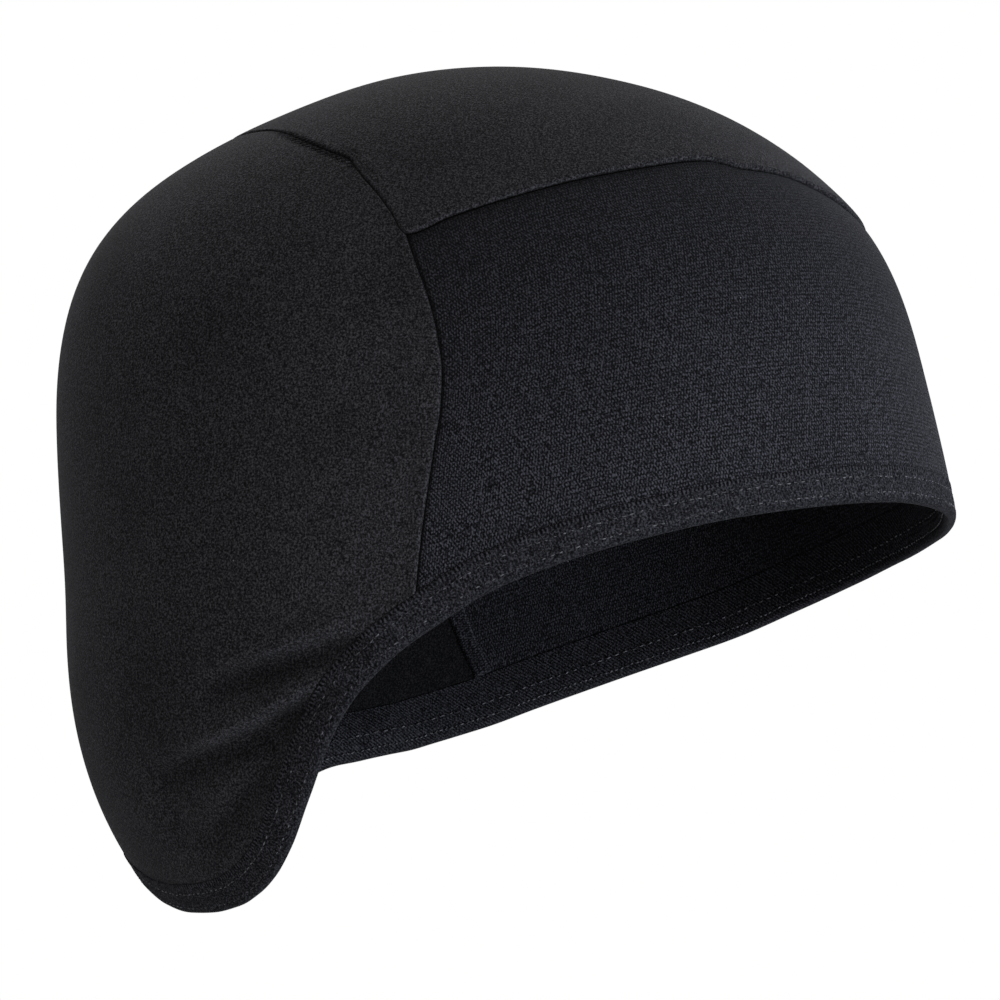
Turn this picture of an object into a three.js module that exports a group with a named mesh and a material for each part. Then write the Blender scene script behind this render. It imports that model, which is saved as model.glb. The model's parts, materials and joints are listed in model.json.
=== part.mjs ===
// Stretch skull cap that is worn under a helmet: a crown panel, a front panel, two side panels with ear and
// nape flaps, and a ribbed edge band folded round the opening. The cap is shown as it sits on a head.
// Millimetres. +Z is up, the wearer's face looks along -Y and the wearer's left is +X. The origin is the
// highest point of the hollow, where the crown of the head sits.
import * as THREE from 'three';

// Driving sizes.
const HEAD_LENGTH = 196; // outside of the cloth, brow to back of head
const HEAD_WIDTH = 154; // outside of the cloth, over the ears
const FLAP_DROP = 92; // lowest hem point below the level where the head is widest
const CLOTH = 1.4; // jersey, one layer
const GAP = 0.3; // clearance between neighbouring pieces
const BAND_FACE = 7.5; // outer face of the edge band, hem fold to top edge
const BAND_LEG = 12; // turned-in leg of the edge band, hem fold to top edge
const BAND_LEG_THICK = 1.1; // turned-in leg where it lies behind the panels
const LEG_GAP = 0.45; // clearance between the panels and the leg behind them
const BAND_PROUD = 0.15; // outer face of the band beyond the panels
const BAND_ROUND = 1.1; // height of the rounding at the fold
const LIP_RISE = 0.7; // front edge of the crown panel above the front panel
const LIP_REACH = 7; // how far behind that edge the rise fades out

// Mesh steps.
const ACROSS = 36; // crown and front panels, right seam to left seam
const CROWN_ROWS = 12; // crown panel, along its side edges
const FRONT_ROWS = 12; // front panel, band to crown seam
const SIDE_ROWS = 18; // side panels, band to crown seam
const BAND_STEPS = 120; // edge band, all the way round

const HALF_LENGTH = HEAD_LENGTH / 2;
const HALF_WIDTH = HEAD_WIDTH / 2;
const ROUNDNESS = 2.3; // power of the cross sections: 2 is an ellipse, more is squarer
const WIDER_BACK = 0.03; // share of the half width gained towards the back
const WIDER_LOW = 0.02; // share of the half width gained towards the ears

// Side profile of the head form, seen from the wearer's right. tilt turns from the crown (0) to the back of
// the head (90) and down the nape, or to the brow (-90). pull is a share of half the head length: a smooth
// curve is drawn towards it.
const PROFILE = [
  { tilt: -120, pull: 1.187 },
  { tilt: -105, pull: 1.058 },
  { tilt: -90, pull: 0.985 },
  { tilt: -75, pull: 0.964 },
  { tilt: -60, pull: 1.007 },
  { tilt: -45, pull: 1.002 },
  { tilt: -30, pull: 0.98 },
  { tilt: -15, pull: 0.957 },
  { tilt: 0, pull: 0.954 },
  { tilt: 15, pull: 0.961 },
  { tilt: 30, pull: 0.969 },
  { tilt: 45, pull: 1.02 },
  { tilt: 60, pull: 1.069 },
  { tilt: 75, pull: 1.009 },
  { tilt: 90, pull: 0.958 },
  { tilt: 105, pull: 0.969 },
  { tilt: 120, pull: 1.065 },
  { tilt: 135, pull: 1.142 },
  { tilt: 150, pull: 1.197 },
  { tilt: 165, pull: 1.301 },
  { tilt: 180, pull: 1.399 },
  { tilt: 195, pull: 1.463 },
  { tilt: 210, pull: 1.43 },
  { tilt: 225, pull: 1.315 },
];

// Hem of the opening. around is degrees from the middle of the brow to the middle of the nape. right and
// left are how far the hem hangs below the widest level on each side, as shares of the flap drop. The left
// flap is pulled back and up a little.
const HEM = [
  { around: 0, right: 0.068, left: 0.068 },
  { around: 12, right: 0.077, left: 0.07 },
  { around: 24, right: 0.09, left: 0.09 },
  { around: 33, right: 0.11, left: 0.122 },
  { around: 43, right: 0.14, left: 0.17 },
  { around: 53, right: 0.174, left: 0.226 },
  { around: 62, right: 0.211, left: 0.27 },
  { around: 71, right: 0.251, left: 0.314 },
  { around: 80, right: 0.297, left: 0.359 },
  { around: 88, right: 0.347, left: 0.4 },
  { around: 95, right: 0.41, left: 0.438 },
  { around: 101, right: 0.468, left: 0.466 },
  { around: 106, right: 0.53, left: 0.489 },
  { around: 110, right: 0.592, left: 0.508 },
  { around: 114, right: 0.68, left: 0.522 },
  { around: 118, right: 0.776, left: 0.535 },
  { around: 123, right: 0.873, left: 0.554 },
  { around: 128, right: 0.934, left: 0.592 },
  { around: 133, right: 0.969, left: 0.665 },
  { around: 139, right: 0.992, left: 0.79 },
  { around: 146, right: 1.0, left: 0.885 },
  { around: 154, right: 0.995, left: 0.925 },
  { around: 163, right: 0.968, left: 0.925 },
  { around: 172, right: 0.92, left: 0.905 },
  { around: 180, right: 0.893, left: 0.893 },
];

const JUNCTION = 101.4; // where crown, front and side panels meet, degrees around
const CROWN_CORNER = 140; // rear corner of the crown panel, degrees around

// Seam between crown and front panel. way is the share of the way from the middle of the brow to the
// junction, and rise is a share of the height of the crown above the widest level.
const CROWN_FRONT_SEAM = [
  { way: 0, rise: 0.604 },
  { way: 0.1183, rise: 0.615 },
  { way: 0.2367, rise: 0.643 },
  { way: 0.3116, rise: 0.659 },
  { way: 0.3452, rise: 0.6605 },
  { way: 0.4043, rise: 0.657 },
  { way: 0.4586, rise: 0.6665 },
  { way: 0.503, rise: 0.659 },
  { way: 0.5621, rise: 0.641 },
  { way: 0.7002, rise: 0.596 },
  { way: 0.8185, rise: 0.549 },
  { way: 0.927, rise: 0.498 },
  { way: 1, rise: 0.457 },
];

// Seam between crown and side panels. way is the share of the way from the junction to the middle of the
// back of the head, and rise is as above.
const CROWN_SIDE_SEAM = [
  { way: 0, rise: 0.457 },
  { way: 0.0407, rise: 0.514 },
  { way: 0.0827, rise: 0.567 },
  { way: 0.1145, rise: 0.6 },
  { way: 0.1425, rise: 0.63 },
  { way: 0.1705, rise: 0.659 },
  { way: 0.2112, rise: 0.678 },
  { way: 0.2621, rise: 0.701 },
  { way: 0.3384, rise: 0.734 },
  { way: 0.388, rise: 0.755 },
  { way: 0.4911, rise: 0.785 },
  { way: 0.6183, rise: 0.802 },
  { way: 0.7455, rise: 0.813 },
  { way: 0.8728, rise: 0.819 },
  { way: 1, rise: 0.821 },
];

// Seam between front and side panel, from the edge band up to the junction. rise is the height above the
// junction as a share of the crown height. right and left are how far behind the junction the seam lies on
// each side, in degrees: on the left the cloth has slipped back a little.
const TEMPLE_SEAM = [
  { rise: -1.057, right: -1.6, left: -6.6 },
  { rise: -0.907, right: -2.3, left: -5.4 },
  { rise: -0.792, right: -3, left: -4 },
  { rise: -0.684, right: -3.8, left: -0.8 },
  { rise: -0.561, right: -5, left: 2.2 },
  { rise: -0.481, right: -5.8, left: 3.2 },
  { rise: -0.39, right: -6.7, left: 3.8 },
  { rise: -0.327, right: -6.8, left: 3.9 },
  { rise: -0.235, right: -5.9, left: 3.5 },
  { rise: -0.159, right: -4.5, left: 2.8 },
  { rise: -0.08, right: -2.3, left: 1.6 },
  { rise: 0, right: 0, left: 0 },
  { rise: 0.143, right: 3.6, left: -2.6 },
];

// Soft folds of the flaps, each from a start to an end. around is in degrees, drop a share of the flap drop.
// depth is in millimetres, inwards when positive, and width is how far it spreads.
const FOLDS = [
  { around: 115, drop: 0.47, toAround: 128, toDrop: 0.53, depth: 1.3, width: 6.5 },
  { around: 121, drop: 0.545, toAround: 131, toDrop: 0.6, depth: -0.9, width: 6.5 },
  { around: 123, drop: 0.65, toAround: 142, toDrop: 0.735, depth: 1.7, width: 7 },
  { around: 128, drop: 0.735, toAround: 139, toDrop: 0.76, depth: -0.9, width: 6 },
  { around: 130, drop: 0.78, toAround: 142, toDrop: 0.82, depth: 1.2, width: 5.5 },
];

// Cross section of the edge band: the outer face, a step at its top, the turned-in leg behind the panels and
// the round fold. up is the height above the hem and in the distance inwards from the outside of the cloth.
const LEG_OUTER = CLOTH + LEG_GAP;
const LEG_INNER = LEG_OUTER + BAND_LEG_THICK;
const BAND_SECTION = [
  { up: 0, in: LEG_INNER * 0.5 },
  { up: BAND_ROUND * 0.3, in: LEG_INNER * 0.16 },
  { up: BAND_ROUND, in: -BAND_PROUD },
  { up: BAND_FACE - BAND_ROUND * 0.4, in: -BAND_PROUD },
  { up: BAND_FACE, in: BAND_LEG_THICK * 0.35 },
  { up: BAND_FACE, in: LEG_OUTER },
  { up: BAND_LEG - BAND_ROUND * 0.4, in: LEG_OUTER },
  { up: BAND_LEG, in: LEG_OUTER + BAND_LEG_THICK * 0.4 },
  { up: BAND_LEG - BAND_ROUND * 0.3, in: LEG_INNER },
  { up: BAND_ROUND, in: LEG_INNER },
  { up: BAND_ROUND * 0.3, in: LEG_INNER * 0.84 },
];

const DEG = Math.PI / 180;
const clamp = (value, low, high) => Math.min(Math.max(value, low), high);

// Smooth curve through the rows of a table, without overshoot.
function readTable(rows, from, to) {
  const x = rows.map((row) => row[from]);
  const y = rows.map((row) => row[to]);
  const last = x.length - 1;
  const step = (i) => (y[i + 1] - y[i]) / (x[i + 1] - x[i]);
  const slope = x.map((_, i) => {
    if (i === 0 || i === last) {
      return 0;
    }
    const before = step(i - 1);
    const after = step(i);
    return before * after <= 0 ? 0 : (2 * before * after) / (before + after);
  });
  return (at) => {
    const value = clamp(at, x[0], x[last]);
    let i = 0;
    while (i < last - 1 && value > x[i + 1]) {
      i += 1;
    }
    const h = x[i + 1] - x[i];
    const t = (value - x[i]) / h;
    const s = 1 - t;
    return (
      s * s * ((1 + 2 * t) * y[i] + t * h * slope[i]) +
      t * t * ((1 + 2 * s) * y[i + 1] - s * h * slope[i + 1])
    );
  };
}

// Radius of the side profile at a tilt: a uniform cubic spline round the pulls, which closes on itself.
function profileRadius(tilt) {
  const count = PROFILE.length;
  const turn = ((tilt - PROFILE[0].tilt + 360) % 360) / (360 / count);
  const i = Math.floor(turn);
  const t = turn - i;
  const s = 1 - t;
  const weights = [s ** 3, 3 * t ** 3 - 6 * t ** 2 + 4, 3 * s ** 3 - 6 * s ** 2 + 4, t ** 3];
  const pulls = weights.map((weight, k) => weight * PROFILE[(i + k + count - 1) % count].pull);
  return (pulls.reduce((total, pull) => total + pull) / 6) * HALF_LENGTH;
}

// Smooth head form: the point of the outside of the cloth in a direction from the middle of the head.
function smoothForm(direction) {
  const d = direction.clone().normalize();
  const tilt = Math.atan2(d.y, d.z) / DEG;
  const halfWidth = HALF_WIDTH * (1 + WIDER_BACK * d.y - WIDER_LOW * d.z);
  const side = (Math.abs(d.x) / halfWidth) ** ROUNDNESS;
  const long = (Math.hypot(d.y, d.z) / profileRadius(tilt)) ** ROUNDNESS;
  return d.multiplyScalar((side + long) ** (-1 / ROUNDNESS));
}

// Direction from degrees around (0 brow, + to the wearer's left) and degrees above the widest level.
function directionOf(around, lift) {
  const a = around * DEG;
  const e = lift * DEG;
  return new THREE.Vector3(Math.sin(a) * Math.cos(e), -Math.cos(a) * Math.cos(e), Math.sin(e));
}

// Direction at which the form has a given height on one meridian.
function directionAt(around, height) {
  let low = -78;
  let high = 88;
  for (let i = 0; i < 40; i += 1) {
    const middle = (low + high) / 2;
    if (smoothForm(directionOf(around, middle)).z < height) {
      low = middle;
    } else {
      high = middle;
    }
  }
  return directionOf(around, (low + high) / 2);
}

const CROWN_RISE = smoothForm(new THREE.Vector3(0, 0, 1)).z;
const aroundOf = (p) => Math.atan2(p.x, -p.y) / DEG;

// Folds as segments on both flaps.
const foldSegments = [-1, 1].flatMap((side) =>
  FOLDS.map((fold) => ({
    line: new THREE.Line3(
      smoothForm(directionAt(side * fold.around, -fold.drop * FLAP_DROP)),
      smoothForm(directionAt(side * fold.toAround, -fold.toDrop * FLAP_DROP)),
    ),
    depth: fold.depth,
    width: fold.width,
  })),
);

// Outside of the cloth in a direction, folds included.
function cloth(direction) {
  const p = smoothForm(direction);
  const near = new THREE.Vector3();
  let inwards = 0;
  for (const fold of foldSegments) {
    fold.line.closestPointToPoint(p, true, near);
    inwards += fold.depth * Math.exp(-((p.distanceTo(near) / fold.width) ** 2));
  }
  return p.multiplyScalar(1 - inwards / p.length());
}

// Outward normal of the cloth in a direction.
function clothNormal(direction) {
  const d = direction.clone().normalize();
  const helper = Math.abs(d.z) < 0.8 ? new THREE.Vector3(0, 0, 1) : new THREE.Vector3(0, 1, 0);
  const s = new THREE.Vector3().crossVectors(helper, d).normalize().multiplyScalar(0.01);
  const t = new THREE.Vector3().crossVectors(d, s).normalize().multiplyScalar(0.01);
  const alongS = cloth(d.clone().add(s)).sub(cloth(d.clone().sub(s)));
  const alongT = cloth(d.clone().add(t)).sub(cloth(d.clone().sub(t)));
  return alongS.cross(alongT).normalize();
}

// A point at a depth inside the outer face of the cloth.
const inside = (direction, depth) => cloth(direction).addScaledVector(clothNormal(direction), -depth);

// Hem point in a direction round the opening.
const hemRight = readTable(HEM, 'around', 'right');
const hemLeft = readTable(HEM, 'around', 'left');
function hemDirection(around) {
  const share = around < 0 ? hemRight(-around) : hemLeft(around);
  return directionAt(around, -share * FLAP_DROP);
}

// Hem stations at even steps of length, from the nape over the right side and the brow back to the nape.
const HEM_SAMPLES = 1440;
const hemWalk = Array.from({ length: HEM_SAMPLES + 1 }, (_, i) =>
  cloth(hemDirection(-180 + (360 * i) / HEM_SAMPLES)),
);
const hemLengths = [0];
for (let i = 1; i <= HEM_SAMPLES; i += 1) {
  hemLengths.push(hemLengths[i - 1] + hemWalk[i].distanceTo(hemWalk[i - 1]));
}
const HEM_LENGTH = hemLengths[HEM_SAMPLES];

// Point of the hem at a share of its length, 0 to 1, wrapping round.
function hemPoint(share) {
  const wanted = (((share % 1) + 1) % 1) * HEM_LENGTH;
  let low = 0;
  let high = HEM_SAMPLES;
  while (high - low > 1) {
    const middle = (low + high) >> 1;
    if (hemLengths[middle] <= wanted) {
      low = middle;
    } else {
      high = middle;
    }
  }
  const t = (wanted - hemLengths[low]) / (hemLengths[high] - hemLengths[low]);
  return hemWalk[low].clone().lerp(hemWalk[high], t);
}

// Direction of the point at a height above the hem, measured square to the hem along the cloth.
function aboveHem(share, height) {
  const reach = 0.004;
  const p = hemPoint(share);
  const along = hemPoint(share + reach).sub(hemPoint(share - reach)).normalize();
  const up = new THREE.Vector3().crossVectors(clothNormal(p), along).normalize();
  return p.addScaledVector(up, height);
}

// Seam curves as directions.
const crownFrontRise = readTable(CROWN_FRONT_SEAM, 'way', 'rise');
const crownSideRise = readTable(CROWN_SIDE_SEAM, 'way', 'rise');
const templeRight = readTable(TEMPLE_SEAM, 'rise', 'right');
const templeLeft = readTable(TEMPLE_SEAM, 'rise', 'left');
function crownSeam(around) {
  const turned = Math.abs(around);
  const rise =
    turned < JUNCTION
      ? crownFrontRise(turned / JUNCTION)
      : crownSideRise((turned - JUNCTION) / (180 - JUNCTION));
  return directionAt(around, rise * CROWN_RISE);
}
const junctionHeight = smoothForm(crownSeam(JUNCTION)).z;
function templeAround(side, height) {
  const rise = (height - junctionHeight) / CROWN_RISE;
  return JUNCTION + (side < 0 ? templeRight(rise) : templeLeft(rise));
}
const templeSeam = (side, height) => directionAt(side * templeAround(side, height), height);

// Share of the hem at which the top edge of the band crosses a temple seam.
const PANEL_FOOT = BAND_FACE + GAP / 2;
function bandCrossing(side) {
  let low = side < 0 ? 0.12 : 0.5;
  let high = side < 0 ? 0.5 : 0.88;
  for (let i = 0; i < 40; i += 1) {
    const middle = (low + high) / 2;
    const p = smoothForm(aboveHem(middle, PANEL_FOOT));
    const behind = Math.abs(aroundOf(p)) > templeAround(side, p.z);
    if (behind === side < 0) {
      low = middle;
    } else {
      high = middle;
    }
  }
  return (low + high) / 2;
}
const CROSSING = { right: bandCrossing(-1), left: bandCrossing(1) };

// Even row of samples of a curve from one parameter to another.
function samples(count, from, to, curve) {
  return Array.from({ length: count + 1 }, (_, i) => curve(from + ((to - from) * i) / count).normalize());
}

// Grid of directions between four edges that share their corners. bottom and top run the same way, and so
// do start and end.
function blendEdges({ bottom, top, start, end }) {
  const columns = bottom.length - 1;
  const rows = start.length - 1;
  const grid = [];
  for (let j = 0; j <= rows; j += 1) {
    const v = j / rows;
    const line = [];
    for (let i = 0; i <= columns; i += 1) {
      const u = i / columns;
      const d = new THREE.Vector3();
      d.addScaledVector(bottom[i], 1 - v).addScaledVector(top[i], v);
      d.addScaledVector(start[j], 1 - u).addScaledVector(end[j], u);
      d.addScaledVector(bottom[0], -(1 - u) * (1 - v)).addScaledVector(bottom[columns], -u * (1 - v));
      d.addScaledVector(top[0], -(1 - u) * v).addScaledVector(top[columns], -u * v);
      line.push(d.normalize());
    }
    grid.push(line);
  }
  return grid;
}

// Moves the border of a grid inwards by half the clearance, so that neighbours stay apart. A corner that is
// wider open than this, in radians, is treated as part of one edge.
const STRAIGHT = 2.6;
function insetBorder(grid) {
  const rows = grid.length - 1;
  const columns = grid[0].length - 1;
  const points = grid.map((line) => line.map((d) => cloth(d)));
  const at = (i, j) => points[clamp(j, 0, rows)][clamp(i, 0, columns)].clone();
  return grid.map((line, j) =>
    line.map((d, i) => {
      const sideways = i === 0 ? 1 : i === columns ? -1 : 0;
      const upwards = j === 0 ? 1 : j === rows ? -1 : 0;
      if (!sideways && !upwards) {
        return d.clone();
      }
      const here = at(i, j);
      const into = at(i + sideways, j + upwards).sub(here);
      let before = at(i + (upwards ? 1 : 0), j + (upwards ? 0 : 1));
      let after = at(i - (upwards ? 1 : 0), j - (upwards ? 0 : 1));
      if (sideways && upwards) {
        before = at(i + sideways, j);
        after = at(i, j + upwards);
      }
      const a = before.sub(here).normalize();
      const b = after.sub(here).normalize();
      const opening = a.angleTo(b);
      if (sideways && upwards && opening < STRAIGHT) {
        into.addVectors(a, b).setLength(GAP / 2 / Math.sin(opening / 2));
      } else {
        const along = a.sub(b).normalize();
        into.addScaledVector(along, -into.dot(along)).setLength(GAP / 2);
      }
      return here.add(into).normalize();
    }),
  );
}

// Closed wall from a grid of directions: outer skin, inner skin and the border between them. lift is how far
// both skins stand above the head form in a direction.
function wallGeometry(grid, lift) {
  const rows = grid.length - 1;
  const columns = grid[0].length - 1;
  const positions = [];
  for (const depth of [0, CLOTH]) {
    grid.flat().forEach((d) => positions.push(...inside(d, depth - lift(d)).toArray()));
  }
  const skin = (rows + 1) * (columns + 1);
  const outer = (i, j) => j * (columns + 1) + i;
  const inner = (i, j) => skin + outer(i, j);
  const faces = [];
  const quad = (a, b, c, d) => faces.push(a, b, c, a, c, d);
  for (let j = 0; j < rows; j += 1) {
    for (let i = 0; i < columns; i += 1) {
      quad(outer(i, j), outer(i + 1, j), outer(i + 1, j + 1), outer(i, j + 1));
      quad(inner(i, j), inner(i, j + 1), inner(i + 1, j + 1), inner(i + 1, j));
    }
  }
  for (let i = 0; i < columns; i += 1) {
    quad(outer(i, 0), inner(i, 0), inner(i + 1, 0), outer(i + 1, 0));
    quad(outer(i, rows), outer(i + 1, rows), inner(i + 1, rows), inner(i, rows));
  }
  for (let j = 0; j < rows; j += 1) {
    quad(outer(0, j), outer(0, j + 1), inner(0, j + 1), inner(0, j));
    quad(outer(columns, j), inner(columns, j), inner(columns, j + 1), outer(columns, j + 1));
  }
  return closedGeometry(positions, faces);
}

// Indexed geometry, turned the right way out and set below the origin.
function closedGeometry(positions, faces) {
  let volume = 0;
  const corner = (k) => new THREE.Vector3().fromArray(positions, 3 * k);
  for (let f = 0; f < faces.length; f += 3) {
    volume += corner(faces[f]).dot(corner(faces[f + 1]).cross(corner(faces[f + 2])));
  }
  if (volume < 0) {
    for (let f = 0; f < faces.length; f += 3) {
      [faces[f + 1], faces[f + 2]] = [faces[f + 2], faces[f + 1]];
    }
  }
  const geometry = new THREE.BufferGeometry();
  geometry.setAttribute('position', new THREE.Float32BufferAttribute(positions, 3));
  geometry.setIndex(faces);
  geometry.translate(0, 0, CLOTH - CROWN_RISE);
  geometry.computeVertexNormals();
  return geometry;
}

// Sets a piece in the cap as a named node with a cloth material of its own.
function addPiece(cap, name, color, geometry) {
  const material = new THREE.MeshStandardMaterial({ color, roughness: 0.9, metalness: 0 });
  material.name = name;
  const piece = new THREE.Mesh(geometry, material);
  piece.name = name;
  cap.add(piece);
}

const flat = () => 0;
const cap = new THREE.Group();
cap.name = 'helmet_liner_cap';

// Edges that two panels share are sampled once, so both panels meet along the same line.
const crownFront = samples(ACROSS, -JUNCTION, JUNCTION, crownSeam);
const crownBack = samples(ACROSS, -CROWN_CORNER, CROWN_CORNER - 360, (around) =>
  crownSeam(around < -180 ? around + 360 : around));
const crownSide = {
  right: samples(CROWN_ROWS, -JUNCTION, -CROWN_CORNER, crownSeam),
  left: samples(CROWN_ROWS, JUNCTION, CROWN_CORNER, crownSeam),
};
function templeEdge(side, name, rows) {
  const foot = smoothForm(aboveHem(CROSSING[name], PANEL_FOOT)).z;
  return samples(rows, foot, junctionHeight, (height) => templeSeam(side, height));
}

// Crown panel: a rounded top, its front edge lying a little over the front panel.
const crownGrid = insetBorder(
  blendEdges({ bottom: crownFront, top: crownBack, start: crownSide.right, end: crownSide.left }),
);
const crownLip = (d) => {
  const p = cloth(d);
  const edge = Math.min(...crownFront.map((other) => cloth(other).distanceTo(p)));
  return LIP_RISE * Math.exp(-((edge / LIP_REACH) ** 2));
};
addPiece(cap, 'crown_panel', 0x1d1d20, wallGeometry(crownGrid, crownLip));

// Front panel: from temple seam to temple seam over the brow.
const frontFoot = samples(ACROSS, CROSSING.right, CROSSING.left, (share) => aboveHem(share, PANEL_FOOT));
const frontGrid = insetBorder(
  blendEdges({
    bottom: frontFoot,
    top: crownFront,
    start: templeEdge(-1, 'right', FRONT_ROWS),
    end: templeEdge(1, 'left', FRONT_ROWS),
  }),
);
addPiece(cap, 'front_panel', 0x232327, wallGeometry(frontGrid, flat));

// Side panels: from the temple seam over the ear and its flap to the middle of the nape.
function sidePanelGrid(side, name) {
  const half = ACROSS / 2;
  const columns = CROWN_ROWS + half;
  const back = side < 0 ? crownBack.slice(0, half + 1) : crownBack.slice(half).reverse();
  const nape = side < 0 ? 0 : 1;
  const foot = samples(columns, CROSSING[name], nape, (share) => aboveHem(share, PANEL_FOOT));
  const top = [...crownSide[name], ...back.slice(1)];
  const napeFoot = smoothForm(foot[columns]).z;
  const napeTop = smoothForm(top[columns]).z;
  const start = templeEdge(side, name, SIDE_ROWS);
  const end = samples(SIDE_ROWS, napeFoot, napeTop, (height) => directionAt(180, height));
  start[0].copy(foot[0]);
  return insetBorder(blendEdges({ bottom: foot, top, start, end }));
}
addPiece(cap, 'side_panel_right', 0x1d1d20, wallGeometry(sidePanelGrid(-1, 'right'), flat));
addPiece(cap, 'side_panel_left', 0x1d1d20, wallGeometry(sidePanelGrid(1, 'left'), flat));

// Edge band: one section swept round the whole opening.
function bandGeometry() {
  const positions = [];
  const count = BAND_SECTION.length;
  for (let k = 0; k < BAND_STEPS; k += 1) {
    for (const point of BAND_SECTION) {
      positions.push(...inside(aboveHem(k / BAND_STEPS, point.up), point.in).toArray());
    }
  }
  const faces = [];
  for (let k = 0; k < BAND_STEPS; k += 1) {
    const next = (k + 1) % BAND_STEPS;
    for (let i = 0; i < count; i += 1) {
      const j = (i + 1) % count;
      const [a, b, c, d] = [k * count + i, next * count + i, next * count + j, k * count + j];
      faces.push(a, b, c, a, c, d);
    }
  }
  return closedGeometry(positions, faces);
}
addPiece(cap, 'edge_band', 0x202024, bandGeometry());

export default cap;
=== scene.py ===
# %% [markdown]
# # A helmet liner cap in black stretch cloth
#
# The cap is worn under a helmet. It has a smooth crown panel, a front panel of fine mesh knit, two side
# panels that run down into ear and nape flaps, and a ribbed edge band that is folded round the opening.
# The CAD model fixes where each panel lies. In this lesson every panel gets real cloth: soft rolled seams,
# folds, gathers, a knit surface and stitching.
#
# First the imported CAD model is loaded. It is only a frame to build around, so nothing in it is moved.

# %% Load the frame and the tools
import json
import math

import bmesh
import bpy
import numpy as np
from mathutils import Matrix, Vector, noise

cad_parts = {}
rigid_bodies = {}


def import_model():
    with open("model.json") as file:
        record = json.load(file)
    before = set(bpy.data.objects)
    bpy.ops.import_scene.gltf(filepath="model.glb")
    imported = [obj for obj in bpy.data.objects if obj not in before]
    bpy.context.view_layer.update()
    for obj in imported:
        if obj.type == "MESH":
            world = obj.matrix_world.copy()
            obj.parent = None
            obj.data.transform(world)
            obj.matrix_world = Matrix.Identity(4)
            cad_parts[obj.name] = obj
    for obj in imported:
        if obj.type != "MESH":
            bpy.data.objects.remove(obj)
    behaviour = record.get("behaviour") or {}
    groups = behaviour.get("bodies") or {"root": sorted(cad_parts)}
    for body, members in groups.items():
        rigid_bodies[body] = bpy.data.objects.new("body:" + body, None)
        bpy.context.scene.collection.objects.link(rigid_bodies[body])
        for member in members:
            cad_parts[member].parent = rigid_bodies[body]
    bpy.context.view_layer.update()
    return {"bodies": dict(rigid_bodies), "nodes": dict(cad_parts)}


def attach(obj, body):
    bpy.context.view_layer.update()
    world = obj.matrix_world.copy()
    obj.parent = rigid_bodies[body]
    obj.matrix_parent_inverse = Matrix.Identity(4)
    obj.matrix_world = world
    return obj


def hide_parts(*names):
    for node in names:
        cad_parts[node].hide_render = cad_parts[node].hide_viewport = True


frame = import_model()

cap_body = next(iter(frame["bodies"]))
print("body:", cap_body, "nodes:", sorted(frame["nodes"]))

# %% [markdown]
# ## Camera and studio
#
# The photograph looks at the wearer's right side, from a little below, so that one sees into the opening.
# A long lens about 0.85 m from the cap gives the same weak perspective. The camera is placed by its own
# three axes, because then no constraint or target object is needed.

# %% Camera
HEAD_MIDDLE = Vector((0.0, 0.0, -0.0921))  # middle of the head that the cap sits on
CAMERA_AROUND = math.radians(-86)
CAMERA_LIFT = math.radians(-10)
CAMERA_DISTANCE = 0.85
CAMERA_LENS_MM = 140.76


def in_scene(name, data):
    """A new object, linked to the scene."""
    made = bpy.data.objects.new(name, data)
    bpy.context.scene.collection.objects.link(made)
    return made


towards_camera = Vector((
    math.sin(CAMERA_AROUND) * math.cos(CAMERA_LIFT),
    -math.cos(CAMERA_AROUND) * math.cos(CAMERA_LIFT),
    math.sin(CAMERA_LIFT),
))
camera_right = Vector((math.cos(CAMERA_AROUND), math.sin(CAMERA_AROUND), 0.0))
camera_up = towards_camera.cross(camera_right)

camera_data = bpy.data.cameras.new("camera")
camera_data.lens = CAMERA_LENS_MM
camera_data.sensor_width = 36.0
camera = in_scene("camera", camera_data)
turned = Matrix((camera_right, camera_up, towards_camera)).transposed().to_4x4()
camera.matrix_world = Matrix.Translation(HEAD_MIDDLE + towards_camera * CAMERA_DISTANCE) @ turned
bpy.context.scene.camera = camera
print("camera at", [round(value, 3) for value in camera.matrix_world.translation])

# %% [markdown]
# Black cloth on a white ground is hard to light, because a white room that is bright enough to look white
# also washes out every fold. So the room is white where the camera looks at it, but gives only a part of
# that light to the cloth. The rest comes from large soft lights: one over the crown, one below and in front
# of the wearer's face, and a weak one on the near side. The floor is far below the cap, out of the
# photograph's view.

# %% Studio
def soft_light(name, place, size, watts, tint=(1.0, 1.0, 1.0)):
    """A square softbox that faces the middle of the head."""
    data = bpy.data.lights.new(name, "AREA")
    data.shape = "SQUARE"
    data.size = size
    data.energy = watts
    data.color = tint
    place = HEAD_MIDDLE + Vector(place)
    in_scene(name, data).matrix_world = Matrix.Translation(place) @ (
        (place - HEAD_MIDDLE).to_track_quat("Z", "Y").to_matrix().to_4x4()
    )


soft_light("light_over_crown", (0.4, 0.3, 1.0), 0.7, 17.5)
soft_light("light_before_face", (-0.4, -0.95, -0.38), 0.5, 38.0, (0.88, 0.93, 1.0))
soft_light("light_on_near_side", (-1.05, 0.1, 0.2), 0.4, 5.0)

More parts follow.
